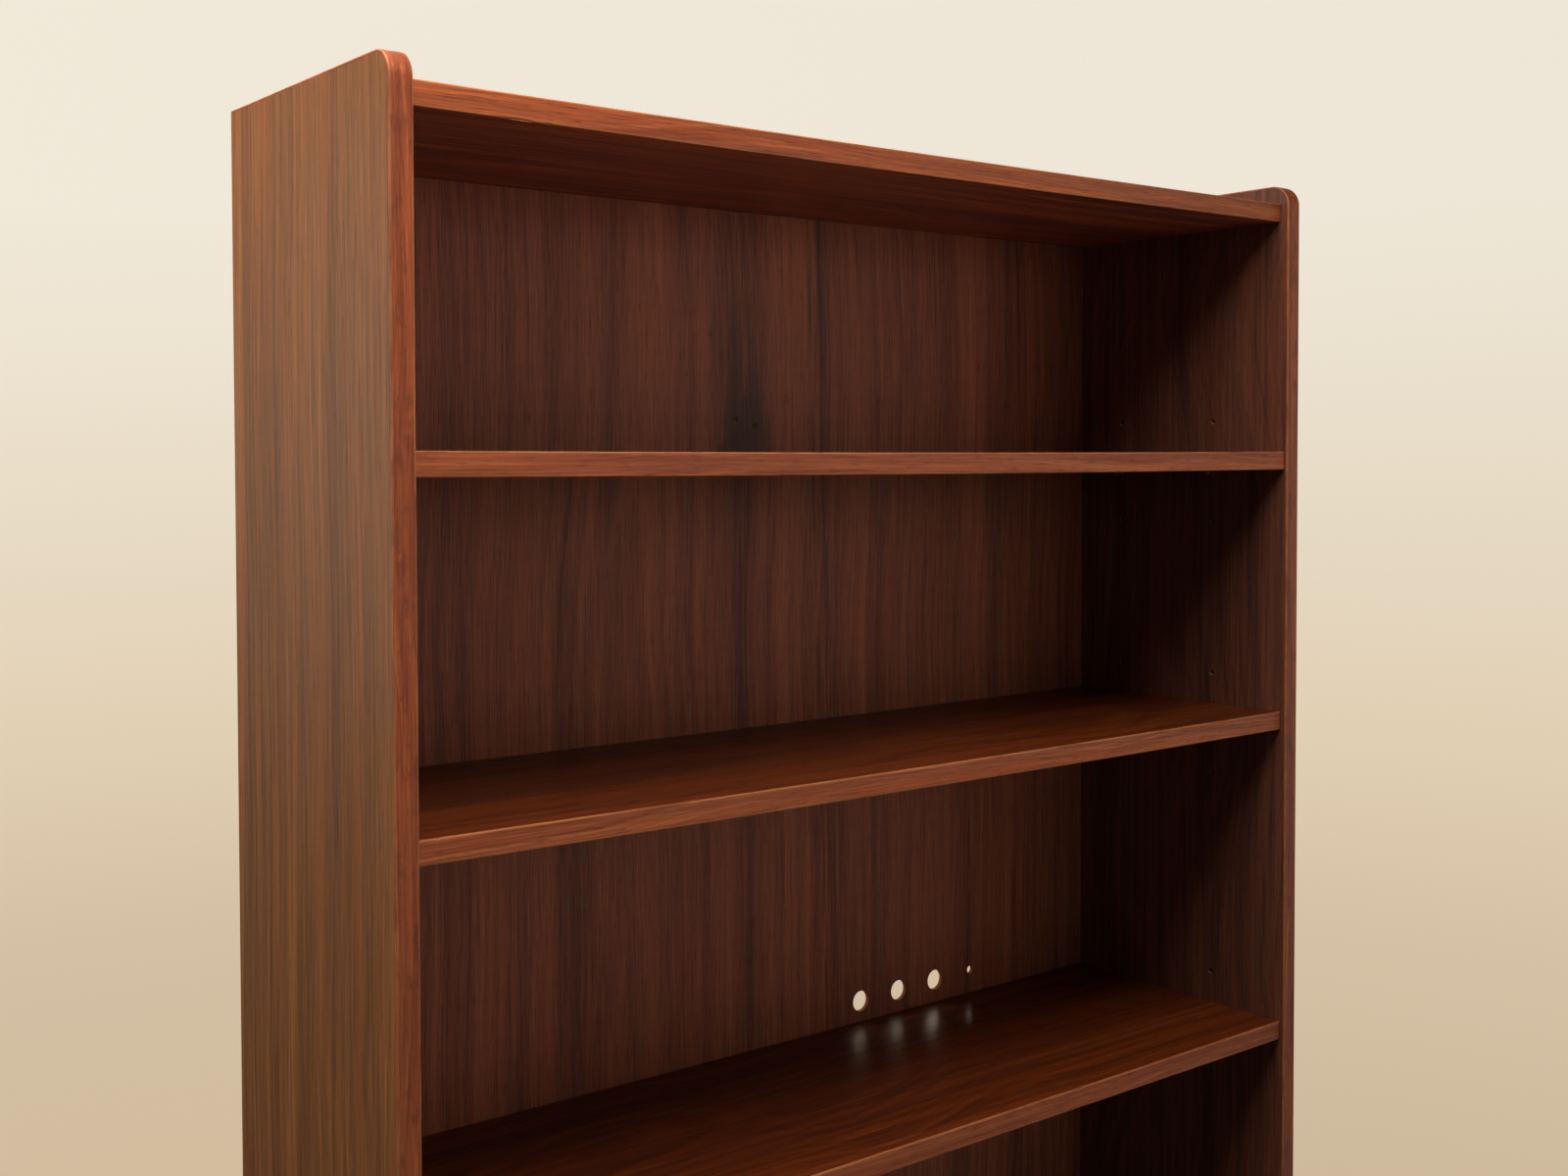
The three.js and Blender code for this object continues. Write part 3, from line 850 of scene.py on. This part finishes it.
def board_band(node, chips=()):
    """A board's front band. A chip is (place along X, half its length, depth, at the top or not)."""
    low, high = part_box(f"{node}_edge_band")
    sag = SAG[node]
    places = end_stations(low.x, high.x, JOINT_ARRIS, SPAN_STEPS)
    for at, half, _, _ in chips:
        places += [(at + half * k / 6, 0.0) for k in range(-6, 7)]
    rings = []
    for x, inset in sorted(places):
        shape = section(low.y + inset, high.y - inset, low.z + inset, high.z - inset, BAND_ARRIS,
                        JOINT_ARRIS, 1.0)
        drop = sagging(x, low.x, high.x, sag)
        ring = []
        for y, z, wear_and_highlight in shape:
            for at, half, depth, top in chips:
                near = max(0.0, 1 - ((x - at) / half) ** 2)
                corner = high.z - z if top else z - low.z
                bite = near * depth * max(0.0, 1 - corner / (3 * BAND_ARRIS))
                bite *= y < low.y + BAND_ARRIS
                z += bite * (-1 if top else 1)
                y += bite * 0.8
            ring.append((Vector((x, y, z + drop)), wear_and_highlight))
        rings.append(ring)
    return loft(rings)


def board_paint(low, high, under):
    """0 on the top face, `under` on the underside, 2 where the core shows."""
    def paint(centre, normal):
        if normal.z > 0.5 or centre.z > high.z - VENEER:
            return 0
        if normal.z < -0.5 or centre.z < low.z + VENEER:
            return under
        return 2
    return paint


faces, level = shelf_faces(), band_level()
top_faces, under_faces = top_outer(), top_under()
for board in ["top_board", "bottom_board", *SHELVES]:
    body = board if board in SHELVES else "case"
    low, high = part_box(board)
    skins = [top_faces, under_faces, core] if board == "top_board" else [faces, faces, core]
    blank = board_core(board)
    own_dowels = [n for n in dowels if n.startswith(f"dowel_{board.split('_')[0]}_")]
    if own_dowels:
        blank = subtract(blank, [joined([round_cutter(n, PLAY) for n in own_dowels])])
    make(board, blank, skins, body, board_paint(low, high, 1))
    make(f"{board}_edge_band", board_band(board, CHIPS.get(board, ())), [level], body)


def plinth():
    low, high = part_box("plinth_board")
    rings = []
    for x, inset in end_stations(low.x, high.x, RAW_ARRIS, SPAN_STEPS):
        shape = section(low.y + inset, high.y - inset, low.z + inset, high.z - inset, RAW_ARRIS,
                        RAW_ARRIS)
        rings.append([(Vector((x, y, z)), wear_and_highlight) for y, z, wear_and_highlight in shape])
    return loft(rings)


make("plinth_board", plinth(), [plinth_face()], "case")

# ---------------------------------------------------------------- back panel

GRID = 0.02 * MM               # corners closer than this count as one
BLIND_RADIUS = 2 * MM          # a narrower hole is an old nail hole


def bored_holes(node):
    """(centre, radius, depth) of each round hole through the front of a flat CAD node.

    The walls of one hole share corners, so linked walls make one group.
    """
    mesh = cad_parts[node].data
    low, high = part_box(node)
    group = {}

    def root(key):
        while group[key] != key:
            key = group[key]
        return key

    for face in mesh.polygons:
        if abs(face.normal.y) > 0.5:
            continue
        keys = [tuple(round(c / GRID) for c in mesh.vertices[i].co) for i in face.vertices]
        for key in keys:
            group.setdefault(key, key)
        for key in keys[1:]:
            group[root(key)] = root(keys[0])
    walls = {}
    for key in group:
        walls.setdefault(root(key), []).append(Vector(key) * GRID)
    holes = []
    for points in walls.values():
        lowest = Vector([min(c) for c in zip(*points)])
        highest = Vector([max(c) for c in zip(*points)])
        centre, radius = (lowest + highest) / 2, (highest.z - lowest.z) / 2
        from_front = abs(lowest.y - low.y) < 0.05 * MM
        clear_of_nails = abs(centre.x) < inner_x - RABBET_WIDTH
        if from_front and clear_of_nails and radius < (high.z - low.z) / 4:
            holes.append((centre, radius, highest.y - low.y))
    return holes


def back_panel(holes):
    """The panel with its nail holes and with the holes that go in from its front."""
    low, high = panel_low, panel_high
    rings = []
    for x, inset in end_stations(low.x, high.x, JOINT_ARRIS, 2):
        shape = section(low.y + inset, high.y - inset, low.z + inset, high.z - inset, JOINT_ARRIS,
                        JOINT_ARRIS)
        rings.append([(Vector((x, y, z)), 0.0) for y, z, _ in shape])
    cutters = [nail_cutter(n) for n in nails]
    thickness = high.y - low.y
    for centre, radius, depth in holes:
        through = depth > thickness * 0.9
        reach = thickness + MM if through else depth
        lip = min(0.3 * MM, radius * 0.2)
        profile = [(-MM, radius + lip), (0, radius + lip), (lip, radius), (VENEER, radius)]
        if through:
            profile += [(thickness - VENEER, radius), (reach, radius)]
        else:
            profile.append((reach, radius * 0.7))
        cutters.append(lathe(profile, "y", Vector((centre.x, low.y, centre.z)), CABLE_HOLE_SIDES))
    return subtract(loft(rings), [joined(cutters)])


def back_paint(centre, normal):
    """The panel's material numbers: 0 in front, 1 behind, 2 where the plies show."""
    if normal.y < -0.9 and centre.y < panel_low.y + VENEER:
        return 0
    if normal.y > 0.9 and centre.y > panel_high.y - VENEER:
        return 1
    return 2


panel_holes = bored_holes("back_panel")
blind_holes = [(centre, radius) for centre, radius, _ in panel_holes if radius < BLIND_RADIUS]
panel_skins = [back_face(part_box("shelf_1")[1].z, blind_holes), back_rear(), bored_ply()]
make("back_panel", back_panel(panel_holes), panel_skins, "case", back_paint)

# ---------------------------------------------------------------- hardware

brass = metal("pin_brass", srgb(214, 176, 104), srgb(176, 136, 74), srgb(104, 76, 44), 0.28, "x")
steel = metal("nail_steel", srgb(176, 176, 172), srgb(132, 132, 128), srgb(96, 74, 58), 0.38, "z")
plastic, dowel_wood = nylon(), beech()


def pin(node):
    """A turned pin with rounded ends and two shallow grooves."""
    low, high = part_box(node)
    half, radius = (high.x - low.x) / 2, (high.z - low.z) / 2
    round_end, floor_half, mouth_half, groove_depth = 0.6 * MM, 0.15 * MM, 0.4 * MM, 0.25 * MM
    end = [(-half, 0.2 * MM)]
    end += [(-half + round_end * up, radius - round_end * (1 - out)) for out, up in arc()]
    grooves = []
    for at in (-2.0 * MM, 0.6 * MM):
        grooves += [(at - mouth_half, radius), (at - floor_half, radius - groove_depth),
                    (at + floor_half, radius - groove_depth), (at + mouth_half, radius)]
    profile = end + grooves + [(-at, r) for at, r in reversed(end)]
    return lathe(profile, "x", middle(node), TURNED_SIDES, 1 if low.x < 0 else -1)


def nail(node):
    """A flat-headed panel nail with a slight dome."""
    low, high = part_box(node)
    head = (high.x - low.x) / 2
    shank, length = head * 0.4, high.y - low.y
    point = [(-length, 0.1 * MM), (-length + 1.6 * MM, shank), (-1.0 * MM, shank)]
    dome = [(-0.9 * MM, head * 0.96), (-0.35 * MM, head), (-0.15 * MM, head * 0.9),
            (-0.04 * MM, head * 0.55), (0, 0.15 * MM)]
    centre = Vector(((low.x + high.x) / 2, high.y, (low.z + high.z) / 2))
    return lathe(point + dome, "y", centre, TURNED_SIDES)


def glide(node):
    """A round glide with a ring-shaped groove in its foot and a rounded lower edge."""
    low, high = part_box(node)
    radius, height = (high.x - low.x) / 2, high.z - low.z
    tiny, groove_depth, rounding = 0.3 * MM, 0.35 * MM, 1.6 * MM
    profile = [(0.0, tiny), (0.0, radius * 0.25), (groove_depth, radius * 0.3),
               (groove_depth, radius * 0.42), (0.0, radius * 0.5), (0.0, radius - rounding)]
    profile += [(rounding * up, radius - rounding * (1 - out)) for out, up in arc() if up > 0]
    profile += [(height, radius), (height, tiny)]
    centre = Vector(((low.x + high.x) / 2, (low.y + high.y) / 2, low.z))
    return lathe(profile, "z", centre, GLIDE_SIDES)


def fluted_dowel(node):
    """A beech dowel with glue flutes and chamfered ends."""
    low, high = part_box(node)
    half, radius = (high.x - low.x) / 2, (high.z - low.z) / 2
    chamfer, end_scale, flute_depth, flute_every = 1.2 * MM, 0.82, 0.05, 4
    rings = []
    for at, scale in ((-half, end_scale), (-half + chamfer, 1.0), (half - chamfer, 1.0),
                      (half, end_scale)):
        ring = []
        for k in range(DOWEL_SIDES):
            a = 2 * math.pi * k / DOWEL_SIDES
            r = radius * scale * (1 - flute_depth * (k % flute_every == 0))
            ring.append((middle(node) + Vector((at, r * math.cos(a), r * math.sin(a))), 0.0))
        rings.append(ring)
    return loft(rings, strip_caps=False)


for node in pins:
    make(node, pin(node), [brass], node)
for node in nails:
    make(node, nail(node), [steel], "case")
for node in glides:
    make(node, glide(node), [plastic], "case")
for node in dowels:
    make(node, fluted_dowel(node), [dowel_wood], "case")

# ---------------------------------------------------------------- floor, light and camera

STAGE_RADIUS = 9.0
STAGE_BEND = 2.5
STAGE_HEIGHT = 8.0
STAGE_SIDES = 96
LAMP_COLOUR = (1.0, 0.93, 0.84)
# Softboxes: place, target, width and height in metres, power in watts, spread in degrees.
SOFTBOXES = {
    "over_softbox": ((-0.6, -0.35, 2.5), (-0.4, -0.25, 1.4), 1.2, 0.36, 18.5, 180),
    "front_softbox": ((1.0, -1.6, 1.85), (0.0, 0.0, 1.75), 0.8, 0.5, 0.26, 64),
    "left_softbox": ((-1.3, 0.62, 1.7), (-0.5, 0.05, 1.5), 0.8, 0.8, 4.6, 180),
    "right_softbox": ((1.3, 0.62, 1.7), (0.5, 0.05, 1.5), 0.8, 0.8, 4.6, 180),
    "rear_softbox": ((0.4, 2.6, 2.5), (0.0, 0.1, 1.0), 1.8, 1.4, 18, 180),
}


def studio():
    """A round pale floor that curves up into a wall.

    The paper glows, and neither lights the object nor shades it.
    """
    bm = bmesh.new()
    flat = STAGE_RADIUS - STAGE_BEND
    profile = [(flat * k / 5, 0.0) for k in range(1, 5)]
    profile += [(flat + STAGE_BEND * out, STAGE_BEND * up) for out, up in arc(16)]
    profile.append((STAGE_RADIUS, STAGE_HEIGHT))
    rings = []
    turns = [2 * math.pi * k / STAGE_SIDES for k in range(STAGE_SIDES)]
    for radius, z in profile:
        rings.append([bm.verts.new((radius * math.cos(a), radius * math.sin(a), z)) for a in turns])
    bm.faces.new(rings[0])
    for a, b in zip(rings, rings[1:]):
        for i in range(STAGE_SIDES):
            j = (i + 1) % STAGE_SIDES
            bm.faces.new((a[i], a[j], b[j], b[i]))
    bmesh.ops.recalc_face_normals(bm, faces=bm.faces)
    mesh = bpy.data.meshes.new("studio_floor")
    bm.to_mesh(mesh)
    bm.free()
    mesh.polygons.foreach_set("use_smooth", [True] * len(mesh.polygons))
    floor = bpy.data.objects.new("studio_floor", mesh)
    bpy.context.scene.collection.objects.link(floor)
    tree = Tree("studio_paper")
    p = tree.place()
    out = tree.math("SQRT", tree.add(tree.mul(p["x"], p["x"]), tree.mul(p["y"], p["y"])))
    # Painted light falloff on the glowing paper: darker low down and near the object, paler high up
    # and far away.
    far = tree.grade(tree.add(p["z"], tree.mul(out, 0.42)), 600.0, 6800.0, smooth=False)
    paper = tree.ramp(far, (0.0, srgb(198, 178, 150)), (0.45, srgb(228, 210, 182)),
                      (1.0, srgb(242, 234, 218)))
    # Near the object the paper glows less and takes more of the soft shadow.
    away = tree.grade(far, 0.0, 0.05)
    tree.set(Base_Color=tree.mix(tree.mul(away, 0.6), paper, (0, 0, 0)), Roughness=1.0,
             Specular_IOR_Level=0.0, Emission_Color=paper,
             Emission_Strength=tree.grade(away, 0.0, 1.0, 0.5, 0.93, smooth=False))
    mesh.materials.append(tree.material)
    floor.visible_diffuse = False
    floor.visible_glossy = False
    floor.visible_shadow = False


def soft_light(name, place, target, width, height, power, spread):
    data = bpy.data.lights.new(name, "AREA")
    data.shape, data.size, data.size_y = "RECTANGLE", width, height
    data.energy, data.color = power, LAMP_COLOUR
    data.spread = math.radians(spread)
    light = bpy.data.objects.new(name, data)
    light.location = place
    light.rotation_mode = "QUATERNION"
    light.rotation_quaternion = (Vector(target) - Vector(place)).to_track_quat("-Z", "Y")
    light.visible_camera = False
    bpy.context.scene.collection.objects.link(light)


def around(azimuth, elevation=0.0):
    """A direction: azimuth 0 is the front, -Y, and 90 is +X, in degrees."""
    a, e = math.radians(azimuth), math.radians(elevation)
    return math.sin(a) * math.cos(e), -math.cos(a) * math.cos(e), math.sin(e)


def air():
    """Soft light from all round: more from the front right, less from the front left and from below.

    A warm patch high behind the back panel gives the soft reflections under the cable holes.
    """
    world = bpy.data.worlds.new("studio_air")
    world.use_nodes = True
    graph = Graph(world.node_tree)
    way = graph.nodes.new("ShaderNodeTexCoord").outputs["Generated"]
    bright = graph.grade(graph.dot(way, around(48)), 0.1, 0.8, 0.0, 0.42)
    dim = graph.grade(graph.dot(way, around(-38)), 0.1, 0.75, 0.0, -0.15)
    rise = graph.dot(way, (0, 0, 1))
    above, below = graph.grade(rise, 0.06, 0.36, 1.0, 0.12), graph.grade(rise, -0.35, -0.1, 0.25, 1.0)
    patch = graph.grade(graph.dot(way, around(147, 34)), 0.8, 0.97)
    background = world.node_tree.nodes["Background"]
    cool = graph.grade(graph.dot(way, around(-50)), 0.0, 0.7)
    colour = graph.mix(cool, (1.0, 0.92, 0.8), (0.86, 0.94, 1.0))
    graph.put(background.inputs["Color"], graph.mix(patch, colour, (1.0, 0.74, 0.5)))
    strength = graph.mul(graph.total(0.29, bright, dim), graph.mul(above, below))
    graph.put(background.inputs["Strength"], graph.add(strength, graph.mul(patch, 0.75)))
    bpy.context.scene.world = world


studio()
air()
for name, settings in SOFTBOXES.items():
    soft_light(name, *settings)

bpy.context.scene.view_settings.view_transform = "Standard"

CAMERA_PLACE = (-1.0153, -1.1517, 1.5782)
# Turns in radians, from a level look along +Y.
CAMERA_TURNS = (("Z", -0.6404), ("X", -0.0284), ("Y", 0.0036))
FOCAL_LENGTH = 39.55
SENSOR_WIDTH = 36
CAMERA_SHIFT = (0.059, -0.0495)

camera_data = bpy.data.cameras.new("camera")
camera_data.sensor_width = SENSOR_WIDTH
camera_data.lens = FOCAL_LENGTH
camera_data.shift_x, camera_data.shift_y = CAMERA_SHIFT
camera = bpy.data.objects.new("camera", camera_data)
aim = Matrix.Translation(CAMERA_PLACE)
for axis, turn in CAMERA_TURNS:
    aim = aim @ Matrix.Rotation(turn, 4, axis)
camera.matrix_world = aim @ Matrix.Rotation(math.radians(90), 4, "X")
bpy.context.scene.collection.objects.link(camera)
bpy.context.scene.camera = camera
